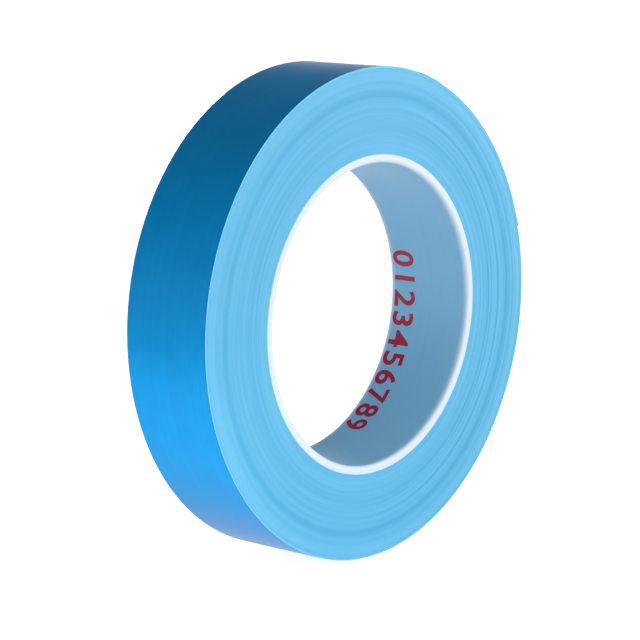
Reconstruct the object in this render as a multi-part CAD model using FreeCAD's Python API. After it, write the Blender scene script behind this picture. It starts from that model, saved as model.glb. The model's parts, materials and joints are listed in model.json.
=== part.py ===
"""A roll of smooth film tape wound on a thin plastic core.

The roll stands on its edge. The origin is the middle of the core's bore, +Y runs along the
bore away from the front side, and +Z is up. Angles are measured seen from the front, from +X
towards +Z, so a point at angle a and radius r is (r cos a, y, r sin a).

The tape is one strip, wound in a spiral that grows by one tape thickness a lap. All of it that
stays stuck is one solid, wound_tape. The last stretch, which lifts when the roll is started,
is a chain of short rigid spans, each hinged to the one before it along its outer corner, so
that the strip opens on its sticky side as it straightens. Lengths are millimetres.
"""

import FreeCAD
import Part
import math
import os

# Core: a plain tube that pushes onto a three-inch hub.
CORE_BORE_DIAMETER = 76.2
CORE_WALL = 2.2
CORE_PROUD = 0.2            # how far each end of the core stands out of the tape's side
CORE_EDGE_CHAMFER = 0.35    # on the four round edges of the core

# Tape: one inch wide, five thousandths thick and sixty yards long.
TAPE_WIDTH = 25.4
TAPE_THICKNESS = 0.127
TAPE_LENGTH = 54864.0

# Free end: the last stretch of the strip, from the peel line to the cut end.
PEEL_LINE_ANGLE = 75.0      # where the strip leaves the roll
SPAN_COUNT = 10
SPAN_ANGLE = 6.0            # how much of the roll each span covers
LIFT_GAP = 0.04             # the loosened strip stands this clear of the lap under it

SPIRAL_ARCS = 12            # arcs that make up one lap of the spiral
FULL_TURN = 360.0

# Worked out from the above.
CORE_BORE_RADIUS = CORE_BORE_DIAMETER / 2
CORE_OUTER_RADIUS = CORE_BORE_RADIUS + CORE_WALL
CORE_LENGTH = TAPE_WIDTH + 2 * CORE_PROUD
ROLL_RADIUS = math.sqrt(CORE_OUTER_RADIUS**2 + TAPE_THICKNESS * TAPE_LENGTH / math.pi)
FREE_END_ANGLE = SPAN_COUNT * SPAN_ANGLE
CUT_END_ANGLE = PEEL_LINE_ANGLE - FREE_END_ANGLE


def lap_radius(back):
    """Outer radius of the strip at a turn of back degrees, wound back from its cut end."""
    return ROLL_RADIUS - TAPE_THICKNESS * back / FULL_TURN


def spiral_point(back, offset=0.0):
    """Point on the front side, back degrees from the cut end and offset outside the strip."""
    radius = lap_radius(back) + offset
    angle = math.radians(CUT_END_ANGLE + back)
    return FreeCAD.Vector(radius * math.cos(angle), -TAPE_WIDTH / 2, radius * math.sin(angle))


def spiral_arc(start, end, offset=0.0):
    """Edge along the spiral from start to end degrees back from the cut end."""
    middle = (start + end) / 2
    return Part.Arc(
        spiral_point(start, offset), spiral_point(middle, offset), spiral_point(end, offset)
    ).toShape()


def straight(start, end):
    """Straight edge between two points."""
    return Part.LineSegment(start, end).toShape()


def across_the_width(edges):
    """Solid as wide as the tape, from a closed outline on its front side."""
    face = Part.Face(Part.Wire(edges))
    return face.extrude(FreeCAD.Vector(0, TAPE_WIDTH, 0))


def tube(inner_radius, outer_radius, length):
    """Tube about the Y axis, centred on the origin."""
    start = FreeCAD.Vector(0, -length / 2, 0)
    along = FreeCAD.Vector(0, 1, 0)
    outside = Part.makeCylinder(outer_radius, length, start, along)
    inside = Part.makeCylinder(inner_radius, length, start, along)
    return outside.cut(inside)


def core():
    """The core, with the edges of its two ends broken by a small chamfer."""
    plain = tube(CORE_BORE_RADIUS, CORE_OUTER_RADIUS, CORE_LENGTH)
    round_edges = [edge for edge in plain.Edges if len(edge.Vertexes) == 1]
    return plain.makeChamfer(CORE_EDGE_CHAMFER, round_edges)


def wound_tape():
    """Every lap that stays stuck. Its outside is one turn of the spiral, closed by the step
    of one tape thickness where the free end starts."""
    first = FREE_END_ANGLE
    step = FULL_TURN / SPIRAL_ARCS
    turns = [first + step * number for number in range(SPIRAL_ARCS + 1)]
    outline = [spiral_arc(start, end) for start, end in zip(turns, turns[1:])]
    outline.append(straight(spiral_point(turns[-1]), spiral_point(first)))
    body = across_the_width(outline)
    inside = Part.makeCylinder(
        CORE_OUTER_RADIUS,
        TAPE_WIDTH,
        FreeCAD.Vector(0, -TAPE_WIDTH / 2, 0),
        FreeCAD.Vector(0, 1, 0),
    )
    return body.cut(inside)


def free_end_span(number):
    """Span of the free end, counted from 1 at the peel line."""
    start = FREE_END_ANGLE - (number - 1) * SPAN_ANGLE
    end = start - SPAN_ANGLE
    outside = LIFT_GAP
    inside = LIFT_GAP - TAPE_THICKNESS
    return across_the_width(
        [
            spiral_arc(start, end, outside),
            straight(spiral_point(end, outside), spiral_point(end, inside)),
            spiral_arc(end, start, inside),
            straight(spiral_point(start, inside), spiral_point(start, outside)),
        ]
    )


def hinge_line(number):
    """Where span number turns on what comes before it: the outer corner they share."""
    return spiral_point(FREE_END_ANGLE - (number - 1) * SPAN_ANGLE, LIFT_GAP)


def pieces():
    """Every piece, by the name of its node."""
    made = {"core": core(), "wound_tape": wound_tape()}
    for number in range(1, SPAN_COUNT + 1):
        made[f"free_end_{number:02d}"] = free_end_span(number)
    return made


def main():
    """Write one STEP file for each piece, and print what the record needs."""
    os.makedirs("parts", exist_ok=True)
    for name, shape in pieces().items():
        shape.exportStep(f"parts/{name}.step")
        print(f"{name}: {len(shape.Solids)} solid, {shape.Volume:.3f} mm3, valid {shape.isValid()}")
    print(f"roll radius {ROLL_RADIUS:.4f}, core length {CORE_LENGTH:.3f}")
    for number in range(1, SPAN_COUNT + 1):
        hinge = hinge_line(number)
        print(f"hinge {number:02d}: x {hinge.x:.6f}, z {hinge.z:.6f}")


main()
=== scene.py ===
"""A roll of smooth film tape on a thin plastic core, dressed and lit.

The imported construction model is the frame: the roll stands on its edge, its bore runs along +Y and
+Z is up. Lengths are metres and angles are degrees, seen from the front, from +X towards +Z. The
strip is one long spiral. Places along it are given in laps wound back from the peel line, where its
free end leaves the roll, so the stuck tape has positive laps and the free end negative ones.
"""
import json
import logging
import math
from collections.abc import Callable
from dataclasses import dataclass
from enum import Enum

import bmesh
import bpy
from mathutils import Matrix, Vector
from mathutils.geometry import delaunay_2d_cdt
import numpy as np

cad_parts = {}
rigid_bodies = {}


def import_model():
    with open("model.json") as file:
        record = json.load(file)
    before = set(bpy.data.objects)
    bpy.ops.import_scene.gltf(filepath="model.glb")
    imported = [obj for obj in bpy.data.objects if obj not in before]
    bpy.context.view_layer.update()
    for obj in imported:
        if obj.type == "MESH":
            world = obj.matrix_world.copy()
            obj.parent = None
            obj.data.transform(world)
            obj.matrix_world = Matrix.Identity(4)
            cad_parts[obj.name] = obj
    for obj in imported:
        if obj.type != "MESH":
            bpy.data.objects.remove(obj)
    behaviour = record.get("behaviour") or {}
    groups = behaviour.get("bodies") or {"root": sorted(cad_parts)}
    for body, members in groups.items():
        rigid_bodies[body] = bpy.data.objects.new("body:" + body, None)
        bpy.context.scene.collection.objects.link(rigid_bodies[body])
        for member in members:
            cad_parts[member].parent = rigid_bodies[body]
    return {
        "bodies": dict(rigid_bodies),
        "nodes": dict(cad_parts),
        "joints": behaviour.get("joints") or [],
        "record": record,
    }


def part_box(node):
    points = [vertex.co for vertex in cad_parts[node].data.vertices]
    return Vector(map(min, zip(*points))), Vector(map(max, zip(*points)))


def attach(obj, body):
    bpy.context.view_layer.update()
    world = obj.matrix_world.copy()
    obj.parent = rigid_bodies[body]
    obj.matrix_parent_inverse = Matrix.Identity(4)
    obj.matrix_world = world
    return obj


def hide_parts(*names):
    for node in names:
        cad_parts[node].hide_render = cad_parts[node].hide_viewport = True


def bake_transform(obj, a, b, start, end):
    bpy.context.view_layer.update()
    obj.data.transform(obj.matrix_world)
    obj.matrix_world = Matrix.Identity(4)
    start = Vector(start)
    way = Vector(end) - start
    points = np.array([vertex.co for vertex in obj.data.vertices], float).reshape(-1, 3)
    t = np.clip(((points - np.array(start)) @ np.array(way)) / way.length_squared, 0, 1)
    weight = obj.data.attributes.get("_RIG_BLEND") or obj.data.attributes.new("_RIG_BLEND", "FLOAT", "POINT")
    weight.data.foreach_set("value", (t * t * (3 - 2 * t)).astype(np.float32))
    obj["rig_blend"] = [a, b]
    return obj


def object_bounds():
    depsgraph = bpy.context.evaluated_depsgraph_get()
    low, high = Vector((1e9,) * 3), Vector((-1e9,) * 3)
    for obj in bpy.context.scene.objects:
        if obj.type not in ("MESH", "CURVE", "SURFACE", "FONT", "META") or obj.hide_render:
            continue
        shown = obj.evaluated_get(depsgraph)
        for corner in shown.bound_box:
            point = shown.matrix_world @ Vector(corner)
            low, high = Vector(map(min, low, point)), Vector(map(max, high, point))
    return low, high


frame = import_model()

CAD_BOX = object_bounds()
MM = 0.001
FULL_TURN = 360.0

WHITE = (1.0, 1.0, 1.0, 1.0)
WELD = 1e-6  # points closer than this become one
SHARP_ANGLE = 0.6  # radians, past which an edge stays crisp
INSIDE_WITH_HOLES = 2  # the kind of fill that leaves holes open
log = logging.getLogger("tape_roll")


# ---- Sizes ----


@dataclass(frozen=True)
class RollSizes:
    """The roll's sizes, as the construction model has them.

    The strip's thickness and the gap under its free end are the two that no box or mount states.
    """

    bore_radius: float
    core_radius: float
    core_half_length: float
    tape_half_width: float
    peel_radius: float
    peel_angle: float
    span_angle: float
    span_bodies: tuple[str, ...]
    thickness: float = 0.127 * MM
    lift_gap: float = 0.04 * MM

    @classmethod
    def from_frame(cls, loaded: dict) -> "RollSizes":
        """Reads the sizes from the frame's boxes, bore mount and hinges.


        Returns:
            The roll's sizes.
        """
        bore = next(mount for mount in loaded["record"]["mounts"] if mount["kind"] == "bore")
        core_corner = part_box("core")[1]
        tape_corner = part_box("wound_tape")[1]
        hinges = [Vector(joint["pos_m"]) for joint in loaded["joints"]]
        angles = [math.degrees(math.atan2(hinge.z, hinge.x)) for hinge in hinges]
        return cls(
            bore_radius=bore["dims"]["r_mm"] * MM,
            core_radius=core_corner.x,
            core_half_length=core_corner.y,
            tape_half_width=tape_corner.y,
            peel_radius=hinges[0].length - cls.lift_gap,
            peel_angle=angles[0],
            span_angle=angles[0] - angles[1],
            span_bodies=tuple(joint["child"] for joint in loaded["joints"]),
        )

    @property
    def laps(self) -> int:
        """Whole laps from the peel line to the core, the last one cut short by the core."""
        return math.ceil((self.peel_radius - self.core_radius) / self.thickness)

    def on_strip(self, ahead: float) -> Vector:
        """Point in the middle of the free end's width, on its outside.

        Args:
            ahead: Degrees past the peel line, towards the cut end.

        Returns:
            The point.
        """
        radius = self.peel_radius + self.thickness * ahead / FULL_TURN + self.lift_gap
        angle = math.radians(self.peel_angle - ahead)
        return Vector((radius * math.cos(angle), 0, radius * math.sin(angle)))


# ---- Node trees ----


class TreeKind(Enum):
    """Kinds of node tree that are built here."""

    GEOMETRY = "GeometryNodeTree"
    SHADER = "ShaderNodeTree"


class Kind(Enum):
    """Kinds of socket on a node group."""

    FLOAT = "NodeSocketFloat"
    INT = "NodeSocketInt"
    VECTOR = "NodeSocketVector"
    GEOMETRY = "NodeSocketGeometry"
    MATERIAL = "NodeSocketMaterial"


def operator(operation: str, turned: bool = False) -> Callable[["Value", "Feed"], "Value"]:
    """Makes an operator of Value, which adds a Math node.

    Args:
        operation: What the node works out.
        turned: Whether the other value goes in first.

    Returns:
        The operator.
    """
    def add_node(this: "Value", other: "Feed") -> "Value":
        """Works out the operation on the two values."""
        first, second = (other, this) if turned else (this, other)
        return this.graph.math(operation, first, second)

    return add_node


class Value:
    """A value in a node tree, which can be reckoned with, so that a tree reads as formulas.

    A comparison gives one where it holds, and nought elsewhere.
    """

    __add__, __radd__ = operator("ADD"), operator("ADD", turned=True)
    __sub__, __rsub__ = operator("SUBTRACT"), operator("SUBTRACT", turned=True)
    __mul__ = operator("MULTIPLY")
    __truediv__, __rtruediv__ = operator("DIVIDE"), operator("DIVIDE", turned=True)
    __lt__, __gt__ = operator("LESS_THAN"), operator("GREATER_THAN")
    at_least, at_most = operator("MAXIMUM"), operator("MINIMUM")

    def __init__(self, graph: "Graph", socket: bpy.types.NodeSocket) -> None:
        """Wraps a socket of the graph's tree."""
        self.graph, self.socket = graph, socket

    def __abs__(self) -> "Value":
        """This without its sign."""
        return self.graph.math("ABSOLUTE", self)


Feed = Value | bpy.types.NodeSocket | float | int | str | tuple | bpy.types.Material
Feeds = dict[str | int, Feed]


class Graph:
    """Adds nodes to a node tree and joins them up."""

    def __init__(self, tree: bpy.types.NodeTree) -> None:
        """Works on the given tree."""
        self.tree = tree

    def feed(self, socket: bpy.types.NodeSocket, value: Feed) -> None:
        """Links a value to an input, or sets the input's own value.

        Args:
            socket: The input.
            value: A value or a socket of the tree, or a plain value.
        """
        if isinstance(value, Value):
            value = value.socket
        if isinstance(value, bpy.types.NodeSocket):
            self.tree.links.new(value, socket)
        else:
            socket.default_value = value

    def node(self, kind: str, feeds: Feeds | None = None, **settings: object) -> bpy.types.Node:
        """Adds a node.

        Args:
            kind: Blender's name for the node.
            feeds: What goes into its inputs, by their name or number.
            **settings: Its own settings.

        Returns:
            The node.
        """
        made = self.tree.nodes.new(kind)
        for name, value in settings.items():
            setattr(made, name, value)
        for name, value in (feeds or {}).items():
            self.feed(made.inputs[name], value)
        return made

    def out(
        self, kind: str, feeds: Feeds | None = None, output: str | int = 0, **settings: object
    ) -> Value:
        """Adds a node and takes one of its outputs.

        Args:
            kind: Blender's name for the node.
            feeds: What goes into its inputs, by their name or number.
            output: The output's name or number.
            **settings: Its own settings.

        Returns:
            The output's value.
        """
        return Value(self, self.node(kind, feeds, **settings).outputs[output])

    def group(self, tree: bpy.types.NodeTree, feeds: Feeds) -> dict[str, Value]:
        """Places a node group.

        Args:
            tree: The group's tree.
            feeds: What goes into its inputs, by their name.

        Returns:
            Its outputs, by their name.
        """
        in_geometry = tree.bl_idname == TreeKind.GEOMETRY.value
        kind = "GeometryNodeGroup" if in_geometry else "ShaderNodeGroup"
        made = self.node(kind, node_tree=tree)
        for name, value in feeds.items():
            self.feed(made.inputs[name], value)
        return {socket.name: Value(self, socket) for socket in made.outputs}

    def math(self, operation: str, *values: Feed) -> Value:
        """Result of a Math node."""
        return self.out("ShaderNodeMath", dict(enumerate(values)), operation=operation)

    def vector(self, operation: str, feeds: Feeds, output: str = "Vector") -> Value:
        """Result of a Vector Math node."""
        return self.out("ShaderNodeVectorMath", feeds, output, operation=operation)

    def split(self, vector: Feed) -> tuple[Value, ...]:
        """X, Y and Z of a vector."""
        made = self.node("ShaderNodeSeparateXYZ", {0: vector})
        return tuple(Value(self, socket) for socket in made.outputs)

    def joined(self, x: Feed, y: Feed, z: Feed) -> Value:
        """Vector of three values."""
        return self.out("ShaderNodeCombineXYZ", {0: x, 1: y, 2: z})

    def painted(self, shape: Value, chosen: Value, material: Value) -> Value:
        """Shape with its chosen faces in a material."""
        feeds = {"Geometry": shape, "Selection": chosen, "Material": material}
        return self.out("GeometryNodeSetMaterial", feeds)

    def ramp(
        self, value: Feed, low: Feed, high: Feed, to_low: Feed = 0.0, to_high: Feed = 1.0
    ) -> Value:
        """Smooth step.

        Args:
            value: What it follows.
            low: The value where it starts.
            high: The value where it ends.
            to_low: What it gives at the start and before.
            to_high: What it gives at the end and past it.

        Returns:
            The step.
        """
        feeds = {"Value": value, "From Min": low, "From Max": high}
        feeds |= {"To Min": to_low, "To Max": to_high}
        return self.out("ShaderNodeMapRange", feeds, "Result", interpolation_type="SMOOTHSTEP")

    def noise(self, place: Feed, scale: Feed, detail: float = 2.0, roughness: float = 0.5) -> Value:
        """Noise of three dimensions, from 0 to 1."""
        feeds = {"Vector": place, "Scale": scale, "Detail": detail, "Roughness": roughness}
        return self.out("ShaderNodeTexNoise", feeds, "Fac")

    def line_noise(
        self, place: Feed, scale: Feed, detail: float = 2.0, roughness: float = 0.5
    ) -> Value:
        """Noise along a line, from 0 to 1."""
        feeds = {"W": place, "Scale": scale, "Detail": detail, "Roughness": roughness}
        return self.out("ShaderNodeTexNoise", feeds, "Fac", noise_dimensions="1D")


@dataclass
class NodeGroup:
    """A node group with named inputs and outputs, given as the names of each kind of socket."""

    name: str
    kind: TreeKind
    inputs: dict[Kind, tuple[str, ...]]
    outputs: dict[Kind, tuple[str, ...]]

    def __post_init__(self) -> None:
        """Makes the empty tree and its sockets."""
        self.tree = bpy.data.node_groups.new(self.name, self.kind.value)
        for in_out, sockets in (("INPUT", self.inputs), ("OUTPUT", self.outputs)):
            for kind, names in sockets.items():
                for name in names:
                    self.tree.interface.new_socket(name=name, in_out=in_out, socket_type=kind.value)
        self.graph = Graph(self.tree)
        sockets = self.tree.nodes.new("NodeGroupInput").outputs
        self.given = {socket.name: Value(self.graph, socket) for socket in sockets}
        self.result = self.tree.nodes.new("NodeGroupOutput").inputs

    def put_out(self, name: str, value: Feed) -> None:
        """Sends a value to an output."""
        self.graph.feed(self.result[name], value)

    def identifier(self, name: str) -> str:
        """The identifier of an input, by which a modifier sets it."""
        items = self.tree.interface.items_tree
        inputs = (item for item in items if item.in_out == "INPUT")
        return next(item.identifier for item in inputs if item.name == name)

    def plain_mesh(self, name: str, values: dict[str, Feed]) -> bpy.types.Object:
        """Runs a geometry tree once and keeps what it makes as a plain mesh object.

        Args:
            name: The new object's name.
            values: The tree's inputs, by name.

        Returns:
            An object at the origin with no modifier left on it.
        """
        carrier = in_scene(name + "_carrier", bpy.data.meshes.new(name + "_carrier"))
        modifier = carrier.modifiers.new("maker", "NODES")
        modifier.node_group = self.tree
        for label, value in values.items():
            modifier[self.identifier(label)] = value
        graph = bpy.context.evaluated_depsgraph_get()
        mesh = bpy.data.meshes.new_from_object(carrier.evaluated_get(graph))
        mesh.name = name
        made = in_scene(name, mesh)
        carrier.modifiers.remove(modifier)
        bpy.data.objects.remove(carrier)
        return made


def in_scene(name: str, data: bpy.types.ID) -> bpy.types.Object:
    """Puts a new object into the scene, at the origin.

    Args:
        name: The object's name.
        data: Its mesh, text, lamp or lens.

    Returns:
        The object.
    """
    made = bpy.data.objects.new(name, data)
    bpy.context.scene.collection.objects.link(made)
    return made


def shared_groups() -> dict[str, NodeGroup]:
    """Makes the effects that several finishes use.

    Returns:
        The groups by name: handling, grain and rings.
    """
    handling = NodeGroup(
        "handling_marks", TreeKind.SHADER,
        {Kind.VECTOR: ("Place",), Kind.FLOAT: ("Size", "Amount")}, {Kind.FLOAT: ("Mask",)},
    )
    graph, place = handling.graph, handling.given["Place"]
    swirl = graph.out("ShaderNodeTexNoise", {"Vector": place, "Scale": 90.0}, "Color")
    bent = graph.vector("ADD", {0: place, 1: graph.vector("SCALE", {0: swirl, "Scale": 4 * MM})})
    cloud = graph.ramp(graph.noise(place, 1.0 / handling.given["Size"], 3.0), 0.52, 0.75)
    hair = graph.noise(graph.vector("MULTIPLY", {0: bent, 1: (1.0, 9.0, 1.0)}), 700.0, 4.0, 0.7)
    handling.put_out("Mask", cloud * graph.ramp(hair, 0.5, 0.72) * handling.given["Amount"])

    grain = NodeGroup(
        "surface_grain", TreeKind.SHADER,
        {Kind.VECTOR: ("Place",), Kind.FLOAT: ("Grain Size",)}, {Kind.FLOAT: ("Height", "Mottle")},
    )
    graph, place, size = grain.graph, grain.given["Place"], grain.given["Grain Size"]
    grain.put_out("Height", graph.noise(place, 1.0 / size, 3.0, 0.6))
    grain.put_out("Mottle", graph.noise(place, 1.0 / (size * 22.0), 2.0))

    rings = NodeGroup(
        "round_the_bore", TreeKind.SHADER,
        {Kind.VECTOR: ("Place",)}, {Kind.FLOAT: ("Radius", "Turn", "Across")},
    )
    graph = rings.graph
    x, y, z = graph.split(rings.given["Place"])
    rings.put_out("Radius", graph.math("SQRT", x * x + z * z))
    rings.put_out("Turn", graph.math("ARCTAN2", z, x) / math.tau)
    rings.put_out("Across", y)
    return {"handling": handling, "grain": grain, "rings": rings}


# ---- Finishes ----


Colour = tuple[float, float, float, float]


def srgb(red: int, green: int, blue: int) -> Colour:
    """Colour for a shader.

    Args:
        red: Its red on a screen, 0 to 255.
        green: Its green.
        blue: Its blue.

    Returns:
        The colour as light, with full cover.
    """
    def linear(value: float) -> float:
        """One channel as light."""
        return value / 12.92 if value <= 0.04045 else ((value + 0.055) / 1.055) ** 2.4

    return (*(linear(channel / 255) for channel in (red, green, blue)), 1.0)


class Coat(Graph):
    """The graph of a new material, with its Principled shader and the place on the object."""

    def __init__(self, name: str, groups: dict[str, NodeGroup]) -> None:
        """Makes the material.

        Args:
            name: Its name.
            groups: The shared groups that it may use.
        """
        self.material = bpy.data.materials.new(name)
        self.material.use_nodes = True
        super().__init__(self.material.node_tree)
        self.groups = groups
        self.shader = self.tree.nodes["Principled BSDF"]
        self.place = self.out("ShaderNodeTexCoord", output="Object")

    def effect(self, name: str, feeds: Feeds | None = None) -> dict[str, Value]:
        """Places a shared group.

        Args:
            name: Which one.
            feeds: What goes into it besides the place on the object.

        Returns:
            Its outputs, by their name.
        """
        return self.group(self.groups[name].tree, {"Place": self.place, **(feeds or {})})

    def mix(self, share: Feed, first: Feed, second: Feed) -> Value:
        """Colour between first and second."""
        feeds = {"Factor": share, 6: first, 7: second}
        return self.out("ShaderNodeMix", feeds, 2, data_type="RGBA")

    def dress(
        self, colour: Feed, roughness: Feed, height: Feed, relief: float, strength: float
    ) -> bpy.types.Material:
        """Feeds the shader.

        Args:
            colour: The base colour.
            roughness: The roughness.
            height: The height of the surface, from 0 to 1.
            relief: What a height of 1 stands for.
            strength: How strongly the height bends the light.

        Returns:
            The finished material.
        """
        feeds = {"Height": height, "Distance": relief, "Strength": strength}
        normal = self.out("ShaderNodeBump", feeds, "Normal")
        for name, value in (("Base Color", colour), ("Roughness", roughness), ("Normal", normal)):
            self.feed(self.shader.inputs[name], value)
        return self.material


@dataclass(frozen=True)
class Finish:
    """A finish: its name and the shared groups it may use."""

    name: str
    groups: dict[str, NodeGroup]


@dataclass(frozen=True)
class FilmFinish(Finish):
    """The strip's outside: smooth blown film with a soft gloss, faint draw lines along it and painted shade
    at its edges.
    """

    deep: Colour = srgb(0, 144, 214)
    clear: Colour = srgb(2, 154, 224)
    worn: Colour = srgb(50, 172, 228)
    painted_edge_shade: Colour = srgb(0, 118, 186)
    half_width: float = 0.0
    edge_shade_width: float = 0.55 * MM
    draw_line_width: float = 0.9 * MM
    patch_size: float = 9 * MM
    mark_size: float = 14 * MM
    relief: float = 0.02 * MM
    ior: float = 1.45
    specular_level: float = 0.12

    def material(self) -> bpy.types.Material:
        """Builds the material.

        Returns:
            The material.
        """
        coat = Coat(self.name, self.groups)
        across = coat.effect("rings")["Across"]
        lines = coat.line_noise(across, 1 / self.draw_line_width, 4.0, 0.65)
        patches = coat.noise(coat.place, 1 / self.patch_size, 3.0, 0.55)
        base = coat.mix(coat.ramp(lines * 0.5 + patches * 0.5, 0.3, 0.7), self.deep, self.clear)
        marks = coat.effect("handling", {"Size": self.mark_size, "Amount": 0.35})["Mask"]
        base = coat.mix(marks, base, self.worn)
        # Painted shade: the film's colour darkens towards each of its edges.
        edge = coat.ramp(abs(across), self.half_width - self.edge_shade_width, self.half_width, 0.0, 0.8)
        coat.shader.inputs["IOR"].default_value = self.ior
        coat.shader.inputs["Specular IOR Level"].default_value = self.specular_level
        return coat.dress(
            colour=coat.mix(edge, base, self.painted_edge_shade),
            roughness=coat.ramp(patches + marks, 0.3, 1.1, 0.28, 0.42),
            height=lines * 0.35 + patches, relief=self.relief, strength=0.35,
        )


@dataclass(frozen=True)
class WindingBand:
    """A ring on the roll's sides where the laps sit a little deeper.

    Its place and width are in laps from the outside, and its depth is a length.
    """

    lap: float
    width: float
    depth: float


@dataclass(frozen=True)
class LapEdgeFinish(Finish):
    """The cut edges of the laps: pale, close to matt, with the rings that winding leaves, painted shade in
    the deeper bands and a painted highlight at the outer edge.
    """

    pale: Colour = srgb(102, 190, 230)
    full: Colour = srgb(80, 176, 220)
    gap: Colour = srgb(40, 142, 200)
    painted_band_shade: Colour = srgb(58, 160, 208)
    rim: Colour = srgb(120, 210, 248)
    bands: tuple[WindingBand, ...] = ()
    outer_radius: float = 0.0
    pitch: float = 0.0
    peel_turn: float = 0.0
    ring_width: float = 1.1 * MM
    rim_highlight_width: float = 0.7 * MM
    deepest: float = 0.1 * MM
    grain_size: float = 0.35 * MM
    relief: float = 0.04 * MM

    def material(self) -> bpy.types.Material:
        """Builds the material.

        Returns:
            The material.
        """
        coat = Coat(self.name, self.groups)
        rings = coat.effect("rings")
        radius, turn = rings["Radius"], rings["Turn"]
        laps_in = (self.outer_radius - radius) / self.pitch - (turn - self.peel_turn)
        fine = coat.line_noise(radius, 1 / self.ring_width, 5.0, 0.7)
        base = coat.mix(self.tone(coat, radius, turn, fine), self.full, self.pale)
        # Painted shade: each band is darkened more, the deeper its laps sit.
        for ring in self.bands:
            away, strongest = abs(laps_in - ring.lap), 0.8 * ring.depth / self.deepest
            base = coat.mix(coat.ramp(away, 0.0, ring.width, strongest, 0.0), base, self.painted_band_shade)
        line = abs(coat.math("FRACT", laps_in) * 2.0 - 1.0)
        base = coat.mix(coat.ramp(line, 0.72, 1.0, 0.0, 0.22), base, self.gap)
        # Painted highlight: a lighter line along the roll's outer edge.
        edge = coat.ramp(radius, self.outer_radius - self.rim_highlight_width, self.outer_radius, 0.0, 0.85)
        grain = coat.effect("grain", {"Grain Size": self.grain_size})["Height"]
        return coat.dress(
            colour=coat.mix(edge, base, self.rim),
            roughness=coat.ramp(fine, 0.2, 0.8, 0.42, 0.6),
            height=fine + grain * 0.4, relief=self.relief, strength=0.5,
        )

    def tone(self, coat: Coat, radius: Value, turn: Value, fine: Value) -> Value:
        """How pale each lap's edge is: mostly the same all round, with slow changes along it.

        Args:
            coat: The material's graph.
            radius: Distance from the bore's axis.
            turn: Place round the axis, in turns.
            fine: Noise that changes from lap to lap.

        Returns:
            The tone, from 0 to 1.
        """
        broad = coat.line_noise(radius, 1 / (4 * self.ring_width), 1.0)
        angle = turn * math.tau
        sideways, upwards = coat.math("COSINE", angle) * 1.4, coat.math("SINE", angle) * 1.4
        slow = coat.noise(coat.joined(radius * (1 / self.ring_width), sideways, upwards), 1.0, 3.0)
        return coat.ramp(broad * 0.35 + fine * 0.35 + slow * 0.3, 0.34, 0.66)


@dataclass(frozen=True)
class AdhesiveFinish(Finish):
    """The strip's inside: clear tacky adhesive over the film, a little milky."""

    milky: Colour = srgb(104, 180, 220)
    clear: Colour = srgb(74, 160, 208)
    streak_width: float = 0.7 * MM
    grain_size: float = 0.5 * MM
    relief: float = 0.03 * MM

    def material(self) -> bpy.types.Material:
        """Builds the material.

        Returns:
            The material.
        """
        coat = Coat(self.name, self.groups)
        lines = coat.line_noise(coat.effect("rings")["Across"], 1 / self.streak_width, 4.0, 0.6)
        grain = coat.effect("grain", {"Grain Size": self.grain_size})
        share = (lines + grain["Mottle"]) * 0.5
        return coat.dress(
            colour=coat.mix(coat.ramp(share, 0.35, 0.65), self.clear, self.milky),
            roughness=coat.ramp(grain["Mottle"], 0.3, 0.7, 0.16, 0.34),
            height=grain["Height"] + lines * 0.6, relief=self.relief, strength=0.5,
        )


@dataclass(frozen=True)
class CorePlasticFinish(Finish):
    """The core: thin white plastic; inside the bore, painted shade and painted blue light from the tape
    behind.
    """

    white: Colour = srgb(220, 234, 247)
    painted_bore_shade: Colour = srgb(122, 194, 232)
    scuffed: Colour = srgb(150, 165, 175)
    half_length: float = 0.0
    white_rim: float = 0.3 * MM
    bore_shade_from: float = 2.0 * MM
    streak_width: float = 2.2 * MM
    grain_size: float = 0.6 * MM
    mark_size: float = 11 * MM
    relief: float = 0.02 * MM

    def material(self) -> bpy.types.Material:
        """Builds the material.

        Returns:
            The material.
        """
        coat = Coat(self.name, self.groups)
        across = coat.effect("rings")["Across"]
        # Painted shade: away from the rims the bore's wall turns a darker blue, and the last bit of each rim
        # stays white.
        inner, outer = self.half_length - self.bore_shade_from, self.half_length - self.white_rim
        inside = coat.ramp(abs(across), inner, outer, 1.0, 0.0)
        grain = coat.effect("grain", {"Grain Size": self.grain_size})
        streaks = coat.line_noise(across, 1 / self.streak_width, 3.0)
        tone = grain["Mottle"] * 0.12 + streaks * 0.1
        base = coat.mix(inside - tone * inside, self.white, self.painted_bore_shade)
        marks = coat.effect("handling", {"Size": self.mark_size, "Amount": 0.25})["Mask"]
        return coat.dress(
            colour=coat.mix(marks, base, self.scuffed),
            roughness=coat.ramp(grain["Mottle"], 0.2, 0.8, 0.34, 0.46),
            height=grain["Height"] + streaks * 1.5, relief=self.relief, strength=0.5,
        )


@dataclass(frozen=True)
class InkFinish(Finish):
    """Red ink, printed thinly enough to break up a little."""

    strong: Colour = srgb(178, 8, 60)
    thin: Colour = srgb(176, 56, 106)
    grain_size: float = 0.25 * MM
    relief: float = 0.01 * MM

    def material(self) -> bpy.types.Material:
        """Builds the material.

        Returns:
            The material.
        """
        coat = Coat(self.name, self.groups)
        grain = coat.effect("grain", {"Grain Size": self.grain_size})
        share = coat.ramp(grain["Height"], 0.55, 0.8, 0.0, 0.6)
        return coat.dress(
            colour=coat.mix(share, self.strong, self.thin),
            roughness=coat.ramp(grain["Mottle"], 0.2, 0.8, 0.35, 0.55),
            height=grain["Height"], relief=self.relief, strength=0.4,
        )


# ---- Sub-assemblies ----


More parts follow.
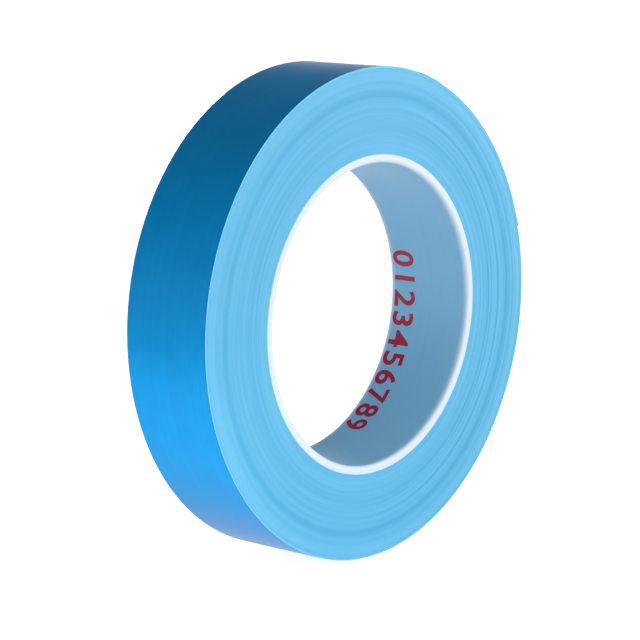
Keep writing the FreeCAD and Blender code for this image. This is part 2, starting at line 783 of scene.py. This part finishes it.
def wander_group() -> NodeGroup:
    """Makes the group that says how far the strip has wandered sideways at a lap.

    Both the stuck laps and the free end use it, so that their edges meet at the peel line.

    Returns:
        The group.
    """
    made = NodeGroup(
        "strip_wander", TreeKind.GEOMETRY,
        {Kind.FLOAT: ("Laps", "Wander", "Seed")}, {Kind.FLOAT: ("Sideways",)},
    )
    graph, given = made.graph, made.given
    place = given["Laps"] + given["Seed"] * 97.0
    slow = graph.line_noise(place, 1 / 11, 1.0) - 0.5
    quick = graph.line_noise(place, 0.9, 2.0) - 0.5
    made.put_out("Sideways", (slow * 1.5 + quick * 0.35) * given["Wander"])
    return made


def grid_places(graph: Graph, rows: Value) -> tuple[Value, Value]:
    """Says where each point of a grid stands in it.

    Args:
        graph: The tree's graph.
        rows: How many rows the grid has.

    Returns:
        The point's column and its row.
    """
    index = graph.out("GeometryNodeInputIndex")
    column = graph.math("FLOOR", (index + 0.5) / rows)
    return column, index - column * rows


def closed_shape(
    graph: Graph, columns: Value, rows: Value, place: Value, edges: Value
) -> Value:
    """Bends a grid, welds it shut and shades it smooth but for its sharp edges.

    Args:
        graph: The tree's graph.
        columns: How many columns the grid has.
        rows: How many rows it has.
        place: Where each of its points goes.
        edges: The material it is given.

    Returns:
        The shape.
    """
    shape = graph.out("GeometryNodeMeshGrid", {"Vertices X": columns, "Vertices Y": rows}, "Mesh")
    shape = graph.out("GeometryNodeSetPosition", {"Geometry": shape, "Position": place})
    shape = graph.out("GeometryNodeMergeByDistance", {"Geometry": shape, "Distance": WELD})
    shape = graph.out("GeometryNodeSetShadeSmooth", {"Geometry": shape, "Shade Smooth": True})
    angle = graph.out("GeometryNodeInputMeshEdgeAngle", output="Unsigned Angle")
    feeds = {"Geometry": shape, "Selection": angle > SHARP_ANGLE, "Shade Smooth": False}
    shape = graph.out("GeometryNodeSetShadeSmooth", feeds, domain="EDGE")
    shape = graph.out("GeometryNodeRealizeInstances", {"Geometry": shape})
    return graph.out("GeometryNodeSetMaterial", {"Geometry": shape, "Material": edges})


@dataclass
class WoundLaps:
    """All the laps that stay stuck, as one spiral strip with each lap's edges in view."""

    sizes: RollSizes
    wander: NodeGroup
    film: bpy.types.Material
    edges: bpy.types.Material
    bands: tuple[WindingBand, ...]
    segments: int = 128
    film_rows: int = 14
    wander_width: float = 0.11 * MM
    ripple: float = 0.025 * MM
    seed: float = 3.0

    def tree(self) -> NodeGroup:
        """Builds the tree: a grid of rows across the section and columns round the lap.

        Rows run down the front edges of the laps, up the back edges and over the outside. Column 0
        is an extra one at the peel line, where the outermost lap is closed by its step.

        Returns:
            The tree.
        """
        made = NodeGroup(
            "wound_laps", TreeKind.GEOMETRY,
            {
                Kind.FLOAT: (
                    "Peel Radius", "Peel Angle", "Core Radius", "Half Width", "Pitch", "Wander",
                    "Ripple", "Seed",
                ),
                Kind.INT: ("Laps", "Segments", "Film Rows"),
                Kind.MATERIAL: ("Film", "Edges"),
            },
            {Kind.GEOMETRY: ("Geometry",)},
        )
        graph, given = made.graph, made.given
        laps, pitch, peel_radius = given["Laps"], given["Pitch"], given["Peel Radius"]
        both_sides = laps * 4.0
        rows = both_sides + given["Film Rows"]
        column, row = grid_places(graph, rows)

        last_back_row = both_sides - 1.0
        from_outside = row.at_most((last_back_row - row).at_least(0.0))
        lap = graph.math("FLOOR", (from_outside + 0.5) / 2.0)
        inner_edge = from_outside - lap * 2.0
        is_step = column < 0.5
        share = (column - 1.0).at_least(0.0) / given["Segments"]
        laps_back = lap + share

        over = (row - last_back_row).at_least(0.0) / given["Film Rows"]
        is_front = row < laps * 2.0 - 0.5
        across = graph.math("COSINE", over * math.pi) * (1.0 - is_front) - is_front

        sideways = graph.group(self.wander.tree, {
            "Laps": laps_back.at_least(is_step).at_most(laps - 1.0),
            "Wander": given["Wander"], "Seed": given["Seed"],
        })["Sideways"]
        recess = 0.0
        for ring in self.bands:
            away = abs(laps_back - ring.lap)
            recess = recess + graph.ramp(away, 0.0, ring.width, ring.depth, 0.0)
        sideways = sideways - recess * across
        radius = peel_radius - (laps_back + inner_edge) * pitch
        radius = radius.at_most(peel_radius - is_step * pitch).at_least(given["Core Radius"])

        angle = given["Peel Angle"] + share * math.tau
        cosine, sine = graph.math("COSINE", angle), graph.math("SINE", angle)
        swell = graph.noise(graph.joined(cosine * 5.0, across * 0.8, sine * 5.0), 1.6, 2.0)
        radius = radius + (swell - 0.5) * (1.0 - across * across) * given["Ripple"]
        place = graph.joined(
            radius * cosine, across * given["Half Width"] + sideways, radius * sine)
        columns = given["Segments"] + 2.0
        shape = closed_shape(graph, columns, rows, place, given["Edges"])
        x, _, z = graph.split(graph.out("GeometryNodeInputPosition"))
        top = peel_radius - pitch * 1.5
        outside = x * x + z * z > top * top
        _, across, _ = graph.split(graph.out("GeometryNodeInputNormal"))
        upright = abs(across) < 0.5
        made.put_out("Geometry", graph.painted(shape, outside * upright, given["Film"]))
        return made

    def build(self) -> bpy.types.Object:
        """Makes the piece and puts it on the roll.

        Returns:
            The piece.
        """
        sizes = self.sizes
        made = self.tree().plain_mesh("wound_laps", {
            "Peel Radius": sizes.peel_radius, "Peel Angle": math.radians(sizes.peel_angle),
            "Core Radius": sizes.core_radius, "Half Width": sizes.tape_half_width,
            "Pitch": sizes.thickness, "Laps": sizes.laps, "Segments": self.segments,
            "Film Rows": self.film_rows, "Wander": self.wander_width,
            "Ripple": self.ripple, "Seed": self.seed, "Film": self.film, "Edges": self.edges,
        })
        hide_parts("wound_tape")
        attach(made, "roll")
        return made


@dataclass
class FreeEnd:
    """The strip's free end, from the peel line to its cut end.

    It is cut into pieces that run from the middle of one hinged span to the middle of the next, so
    that each crosses one hinge and bends with it. The first one folds back at the peel line, and
    the last one is the cut end.
    """

    sizes: RollSizes
    wander: NodeGroup
    film: bpy.types.Material
    edges: bpy.types.Material
    adhesive: bpy.types.Material
    wander_width: float
    seed: float
    rows: int = 12
    fold_columns: int = 60
    stretch_columns: int = 28
    fold_angle: float = 2.1
    half_bend_angle: float = 1.6
    end_lift: float = 0.12 * MM

    def tree(self) -> NodeGroup:
        """Builds the tree of one stretch: a thin closed plate on the spiral.

        Returns:
            The tree.
        """
        made = NodeGroup(
            "film_stretch", TreeKind.GEOMETRY,
            {
                Kind.FLOAT: (
                    "Peel Radius", "Peel Angle", "Half Width", "Thickness", "Near", "Far", "Settle",
                    "Gap", "End", "End Lift", "Wander", "Seed",
                ),
                Kind.INT: ("Rows", "Columns"),
                Kind.MATERIAL: ("Film", "Edges", "Adhesive"),
            },
            {Kind.GEOMETRY: ("Geometry",)},
        )
        graph, given = made.graph, made.given
        half = given["Rows"] + 1.0
        loop = half * 2.0
        rows = loop + 1.0
        column, row = grid_places(graph, rows)
        row = row * (row < loop - 0.5)
        is_inside = row > half - 0.5
        step = (row - is_inside * half) / given["Rows"]
        across = graph.math("COSINE", step * math.pi) * (1.0 - is_inside * 2.0)

        # The first and the last column stand past the ends, and close them.
        along = (column - 1.0) / given["Columns"]
        is_cap = abs(along - 0.5) > 0.5001
        along = along.at_least(0.0).at_most(1.0)
        ahead = given["Far"] + along * (given["Near"] - given["Far"])
        laps = ahead / math.tau
        sideways = graph.group(self.wander.tree, {
            "Laps": laps * -1.0, "Wander": given["Wander"], "Seed": given["Seed"],
        })["Sideways"]

        gap = graph.ramp(ahead, 0.0, given["Settle"], 0.0, given["Gap"])
        last = given["End"] - given["Settle"]
        lift = graph.ramp(ahead, last, given["End"], 0.0, given["End Lift"])
        under = is_inside * (1.0 - is_cap) + is_cap * 0.5
        radius = given["Peel Radius"] + laps * given["Thickness"] + gap + lift
        radius = radius - under * given["Thickness"]
        angle = given["Peel Angle"] - ahead
        place = graph.joined(
            radius * graph.math("COSINE", angle), across * given["Half Width"] + sideways,
            radius * graph.math("SINE", angle))
        shape = closed_shape(graph, given["Columns"] + 3.0, rows, place, given["Edges"])
        x, _, z = graph.split(graph.out("GeometryNodeInputPosition"))
        outward = graph.vector("NORMALIZE", {0: graph.joined(x, 0.0, z)})
        normal = graph.out("GeometryNodeInputNormal")
        facing = graph.vector("DOT_PRODUCT", {0: normal, 1: outward}, "Value")
        shape = graph.painted(shape, facing > 0.5, given["Film"])
        made.put_out("Geometry", graph.painted(shape, facing < -0.5, given["Adhesive"]))
        return made

    def stretch(
        self, tree: NodeGroup, name: str, near: float, far: float, columns: int
    ) -> bpy.types.Object:
        """Makes one stretch.

        Args:
            tree: The stretch tree.
            name: The piece's name.
            near: Where it starts, in degrees past the peel line.
            far: Where it ends, in degrees past the peel line.
            columns: How many steps it has along its length.

        Returns:
            The piece.
        """
        sizes = self.sizes
        end = sizes.span_angle * len(sizes.span_bodies)
        made = tree.plain_mesh(name, {
            "Peel Radius": sizes.peel_radius, "Peel Angle": math.radians(sizes.peel_angle),
            "Half Width": sizes.tape_half_width, "Thickness": sizes.thickness,
            "Near": math.radians(near), "Far": math.radians(far),
            "Settle": math.radians(sizes.span_angle / 2), "Gap": sizes.lift_gap,
            "End": math.radians(end), "End Lift": self.end_lift,
            "Rows": self.rows, "Columns": columns, "Wander": self.wander_width, "Seed": self.seed,
            "Film": self.film, "Edges": self.edges, "Adhesive": self.adhesive,
        })
        return made

    def build(self) -> list[bpy.types.Object]:
        """Makes the fold at the peel line, the stretches over the hinges and the cut end.

        Returns:
            The pieces, from the peel line to the cut end.
        """
        sizes, tree = self.sizes, self.tree()
        bodies = sizes.span_bodies
        middles = [sizes.span_angle * (number + 0.5) for number in range(len(bodies))]
        fold = self.stretch(tree, "film_fold", 0.0, middles[0], self.fold_columns)
        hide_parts(bodies[0])
        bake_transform(fold, "roll", bodies[0], sizes.on_strip(0.0), sizes.on_strip(self.fold_angle))
        pieces = [fold]
        for number in range(1, len(bodies)):
            before, after = bodies[number - 1], bodies[number]
            near, far = middles[number - 1], middles[number]
            hinge = sizes.span_angle * number
            name = f"film_stretch_{number:02d}"
            piece = self.stretch(tree, name, near, far, self.stretch_columns)
            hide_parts(before, after)
            start, end = hinge - self.half_bend_angle, hinge + self.half_bend_angle
            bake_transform(piece, before, after, sizes.on_strip(start), sizes.on_strip(end))
            pieces.append(piece)
        end_angle = sizes.span_angle * len(bodies)
        cut_end = self.stretch(tree, "film_cut_end", middles[-1], end_angle, self.stretch_columns)
        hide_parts(bodies[-1])
        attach(cut_end, bodies[-1])
        return [*pieces, cut_end]


@dataclass
class Core:
    """The core: a plain tube with rounded rims."""

    sizes: RollSizes
    plastic: bpy.types.Material
    segments: int = 224
    inner_round: float = 0.85 * MM
    outer_round: float = 0.35 * MM
    round_steps: int = 6
    wall_rows: int = 10

    def section(self) -> list[tuple[float, float]]:
        """Outline of the wall as (radius, across) points, round the section.

        Returns:
            The points, from the front rim's inner rounding outwards, back along the outside.
        """
        sizes = self.sizes
        corners = (
            (sizes.bore_radius, -1, self.inner_round, 180),
            (sizes.core_radius, -1, self.outer_round, 270),
            (sizes.core_radius, 1, self.outer_round, 0),
            (sizes.bore_radius, 1, self.inner_round, 90),
        )
        points = []
        for wall, end, rounding, start in corners:
            inwards = 1 if wall == sizes.bore_radius else -1
            centre = (wall + inwards * rounding, end * (sizes.core_half_length - rounding))
            for step in range(self.round_steps + 1):
                angle = math.radians(start + 90 * step / self.round_steps)
                across, along = rounding * math.cos(angle), rounding * math.sin(angle)
                points.append((centre[0] + across, centre[1] + along))
        for step in range(1, self.wall_rows):
            share = step / self.wall_rows
            far, near = points[4 * (self.round_steps + 1) - 1], points[0]
            points.append((sizes.bore_radius, far[1] + (near[1] - far[1]) * share))
        return points

    def build(self) -> bpy.types.Object:
        """Makes the piece and puts it on the roll.

        Returns:
            The piece.
        """
        section = self.section()
        count = len(section)
        corners = []
        for number in range(self.segments):
            angle = math.tau * number / self.segments
            cosine, sine = math.cos(angle), math.sin(angle)
            corners += [(radius * cosine, across, radius * sine) for radius, across in section]
        faces = []
        for number in range(self.segments):
            here, following = number * count, (number + 1) % self.segments * count
            for step in range(count):
                after = (step + 1) % count
                faces.append((here + step, here + after, following + after, following + step))
        mesh = bpy.data.meshes.new("core_tube")
        mesh.from_pydata(corners, [], faces)
        mesh.materials.append(self.plastic)
        mesh.shade_smooth()
        made = in_scene("core_tube", mesh)
        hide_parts("core")
        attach(made, "roll")
        return made


@dataclass
class BoreScale:
    """A plain scale of bold digits, printed in red round the inside of the core."""

    sizes: RollSizes
    ink: bpy.types.Material
    digits: str = "0123456789"
    font_size: float = 9.3 * MM
    weight: float = 0.2 * MM
    curve_steps: int = 8
    spacing: float = 1.18
    baseline: float = 11.3 * MM
    start_angle: float = 15.5
    ink_height: float = 0.03 * MM
    longest_side: float = 0.8 * MM
    halvings: int = 4
    merge_distance: float = 0.001 * MM
    pinhole_sides: int = 8

    def outlines(self) -> list[list[Vector]]:
        """Draws the digits' outlines, with their baseline along X.

        Returns:
            The closed outlines, each as its points in order.
        """
        text = bpy.data.curves.new("bore_digits", "FONT")
        text.body = self.digits
        text.size = self.font_size
        text.space_character = self.spacing
        text.fill_mode = "NONE"
        text.resolution_u = self.curve_steps
        carrier = in_scene("bore_digits", text)
        graph = bpy.context.evaluated_depsgraph_get()
        lines = bpy.data.meshes.new_from_object(carrier.evaluated_get(graph))
        bpy.data.objects.remove(carrier)
        corners = [corner.co.to_2d() for corner in lines.vertices]
        ends = sorted(sorted(edge.vertices) for edge in lines.edges)
        bpy.data.meshes.remove(lines)
        return [corners[first:last + 1] for first, last in ends if last - first > 1]

    def emboldened(self, outline: list[Vector]) -> list[Vector]:
        """Moves an outline away from the stroke that it bounds, by the weight.

        Args:
            outline: The outline's points in order.

        Returns:
            The moved points.
        """
        moved = []
        for number, corner in enumerate(outline):
            before = (corner - outline[number - 1]).normalized()
            after = (outline[(number + 1) % len(outline)] - corner).normalized()
            outward = Vector((before.y + after.y, -before.x - after.x))
            moved.append(corner + self.weight * outward / (1 + max(before.dot(after), 0.0)))
        return moved

    def flat_digits(self) -> bmesh.types.BMesh:
        """Fills the outlines with small triangles, and leaves the holes in the digits open.

        Returns:
            The flat digits.
        """
        corners, loops = [], []
        for outline in self.outlines():
            loops.append(range(len(corners), len(corners) + len(outline)))
            corners += self.emboldened(outline)
        filled = delaunay_2d_cdt(corners, [], loops, INSIDE_WITH_HOLES, self.merge_distance)
        shape = bmesh.new()
        made = [shape.verts.new((*corner, 0)) for corner in filled[0]]
        for face in filled[2]:
            shape.faces.new([made[number] for number in face])
        for _ in range(self.halvings):
            long_edges = [edge for edge in shape.edges if edge.calc_length() > self.longest_side]
            bmesh.ops.subdivide_edges(shape, edges=long_edges, cuts=1)
            bmesh.ops.triangulate(shape, faces=shape.faces)
        rims = [edge for edge in shape.edges if edge.is_boundary]
        bmesh.ops.holes_fill(shape, edges=rims, sides=self.pinhole_sides)
        bmesh.ops.triangulate(shape, faces=shape.faces)
        return shape

    def build(self) -> bpy.types.Object:
        """Thickens the digits, bends them round the bore's wall and puts them on the roll.

        Returns:
            The piece.
        """
        shape = self.flat_digits()
        radius = self.sizes.bore_radius
        raised = bmesh.ops.extrude_face_region(shape, geom=shape.faces[:])["geom"]
        top = {item for item in raised if isinstance(item, bmesh.types.BMVert)}
        for corner in shape.verts:
            angle = math.radians(self.start_angle) - corner.co.x / radius
            height = radius - (self.ink_height if corner in top else -self.ink_height)
            across = self.baseline - corner.co.y
            corner.co = (height * math.cos(angle), across, height * math.sin(angle))
        bmesh.ops.recalc_face_normals(shape, faces=shape.faces)
        mesh = bpy.data.meshes.new("bore_scale")
        shape.to_mesh(mesh)
        shape.free()
        mesh.materials.append(self.ink)
        made = in_scene("bore_scale", mesh)
        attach(made, "roll")
        return made


# ---- Studio ----


@dataclass(frozen=True)
class Softbox:
    """A soft lamp: where it hangs, what it looks at, its size and its power."""

    name: str
    place: tuple[float, float, float]
    target: tuple[float, float, float]
    width: float
    height: float
    watts: float

    def build(self) -> None:
        """Hangs the lamp."""
        lamp = bpy.data.lights.new(self.name, "AREA")
        lamp.shape = "RECTANGLE"
        lamp.size, lamp.size_y = self.width, self.height
        lamp.energy = self.watts
        made = in_scene(self.name, lamp)
        made.location = self.place
        forward = Vector(self.target) - made.location
        made.rotation_euler = forward.to_track_quat("-Z", "Y").to_euler()


def direction(azimuth: float, elevation: float) -> Vector:
    """Direction from the roll to a viewer.

    Args:
        azimuth: Degrees round from the front, negative to the left.
        elevation: Degrees up from level.

    Returns:
        The direction, one long.
    """
    turn, rise = math.radians(azimuth), math.radians(elevation)
    level = math.cos(rise)
    return Vector((math.sin(turn) * level, -math.cos(turn) * level, math.sin(rise)))


@dataclass
class Studio:
    """A pale floor, a pale surround that is darker overhead, soft lamps and the camera."""

    floor_size: float = 6.0
    floor_grey: float = 0.8
    floor_roughness: float = 0.9
    floor_specular: float = 0.1
    floor_glow: float = 0.86
    horizon: float = 0.6
    overhead: float = 0.18
    horizon_rise: float = 0.08
    overhead_rise: float = 0.42
    camera_azimuth: float = -49.4
    camera_elevation: float = 10.1
    camera_distance: float = 0.6564
    camera_left: float = 3.98 * MM
    camera_down: float = 2.66 * MM
    lens: float = 146.1
    clip: tuple[float, float] = (0.01, 20.0)
    lamps: tuple[Softbox, ...] = (
        Softbox("low_left", (-0.16, -0.02, -0.05), (-0.04, 0.0, -0.02), 0.16, 0.02, 0.034),
        Softbox("floor_beside", (-0.17, -0.02, 0.0), (-0.17, -0.02, -0.06), 0.16, 0.2, 0.155),
        Softbox("low_front", (-0.5, -0.9, -0.045), (0.0, 0.0, 0.0), 0.6, 0.03, 2.65),
        Softbox("sheen", (0.36, -0.5, 0.3), (0.03, 0.0, 0.05), 0.6, 0.6, 3.05),
        Softbox("back_fill", (0.4, 1.1, 0.0), (0.0, 0.0, 0.0), 1.6, 0.12, 8.5),
    )

    def seen(self, graph: Graph) -> Value:
        """One where the camera sees a surface, straight or in a reflection, and nought elsewhere.

        Args:
            graph: The graph that asks.

        Returns:
            The value.
        """
        path = graph.node("ShaderNodeLightPath").outputs
        mirrored = graph.math("MAXIMUM", path["Is Glossy Ray"], path["Is Transmission Ray"])
        return graph.math("MAXIMUM", path["Is Camera Ray"], mirrored)

    def floor(self) -> bpy.types.Object:
        """Lays the floor, which looks white and keeps the roll's shadow.

        Returns:
            The floor.
        """
        half = self.floor_size / 2
        level = CAD_BOX[0].z
        mesh = bpy.data.meshes.new("floor")
        corners = [(x * half, y * half, level) for x, y in ((-1, -1), (1, -1), (1, 1), (-1, 1))]
        mesh.from_pydata(corners, [], [(0, 1, 2, 3)])
        material = bpy.data.materials.new("floor_paper")
        material.use_nodes = True
        graph = Graph(material.node_tree)
        shader = material.node_tree.nodes["Principled BSDF"]
        shader.inputs["Base Color"].default_value = (*[self.floor_grey] * 3, 1.0)
        shader.inputs["Roughness"].default_value = self.floor_roughness
        shader.inputs["Specular IOR Level"].default_value = self.floor_specular
        shader.inputs["Emission Color"].default_value = WHITE
        graph.feed(shader.inputs["Emission Strength"], self.seen(graph) * self.floor_glow)
        mesh.materials.append(material)
        made = in_scene("floor", mesh)
        return made

    def surround(self) -> None:
        """Sets the world: white at the horizon, as the floor is, and darker overhead."""
        world = bpy.data.worlds.new("surround")
        world.use_nodes = True
        bpy.context.scene.world = world
        graph = Graph(world.node_tree)
        world.node_tree.nodes.clear()
        _, _, rise = graph.split(graph.out("ShaderNodeTexCoord", output="Generated"))
        low = self.seen(graph).at_least(self.horizon)
        strength = graph.ramp(rise, self.horizon_rise, self.overhead_rise, low, self.overhead)
        feeds = {"Color": WHITE, "Strength": strength}
        graph.node("ShaderNodeOutputWorld", {"Surface": graph.out("ShaderNodeBackground", feeds)})

    def camera(self) -> bpy.types.Object:
        """Sets up the camera.

        Returns:
            The camera.
        """
        back = direction(self.camera_azimuth, self.camera_elevation)
        right = Vector((-back.y, back.x, 0)).normalized()
        up = back.cross(right)
        lens = bpy.data.cameras.new("camera")
        lens.lens = self.lens
        lens.clip_start, lens.clip_end = self.clip
        made = in_scene("camera", lens)
        aside = right * self.camera_left + up * self.camera_down
        made.location = back * self.camera_distance - aside
        made.rotation_euler = (-back).to_track_quat("-Z", "Y").to_euler()
        bpy.context.scene.camera = made
        return made

    def build(self) -> None:
        """Sets up the whole studio."""
        self.floor()
        self.surround()
        for lamp in self.lamps:
            lamp.build()
        self.camera()
        bpy.context.scene.view_settings.view_transform = "Standard"


# ---- Building ----


def main() -> None:
    """Builds the roll and its studio."""
    logging.basicConfig(level=logging.INFO, format="%(message)s")
    sizes = RollSizes.from_frame(frame)
    groups = shared_groups()
    bands = (
        WindingBand(lap=56, width=11, depth=0.06 * MM),
        WindingBand(lap=84, width=7, depth=0.03 * MM),
        WindingBand(lap=118, width=12, depth=0.04 * MM),
    )
    film = FilmFinish("smooth_film", groups, half_width=sizes.tape_half_width).material()
    edges = LapEdgeFinish(
        "lap_edges", groups, bands=bands, outer_radius=sizes.peel_radius, pitch=sizes.thickness,
        peel_turn=sizes.peel_angle / FULL_TURN,
    ).material()
    adhesive = AdhesiveFinish("tacky_side", groups).material()
    plastic = CorePlasticFinish(
        "core_plastic", groups, half_length=sizes.core_half_length).material()
    ink = InkFinish("red_ink", groups).material()

    Studio().build()
    wander = wander_group()
    laps = WoundLaps(sizes, wander, film, edges, bands)
    pieces = [
        Core(sizes, plastic).build(),
        BoreScale(sizes, ink).build(),
        laps.build(),
        *FreeEnd(sizes, wander, film, edges, adhesive, laps.wander_width, laps.seed).build(),
    ]


if __name__ == "__main__":
    main()
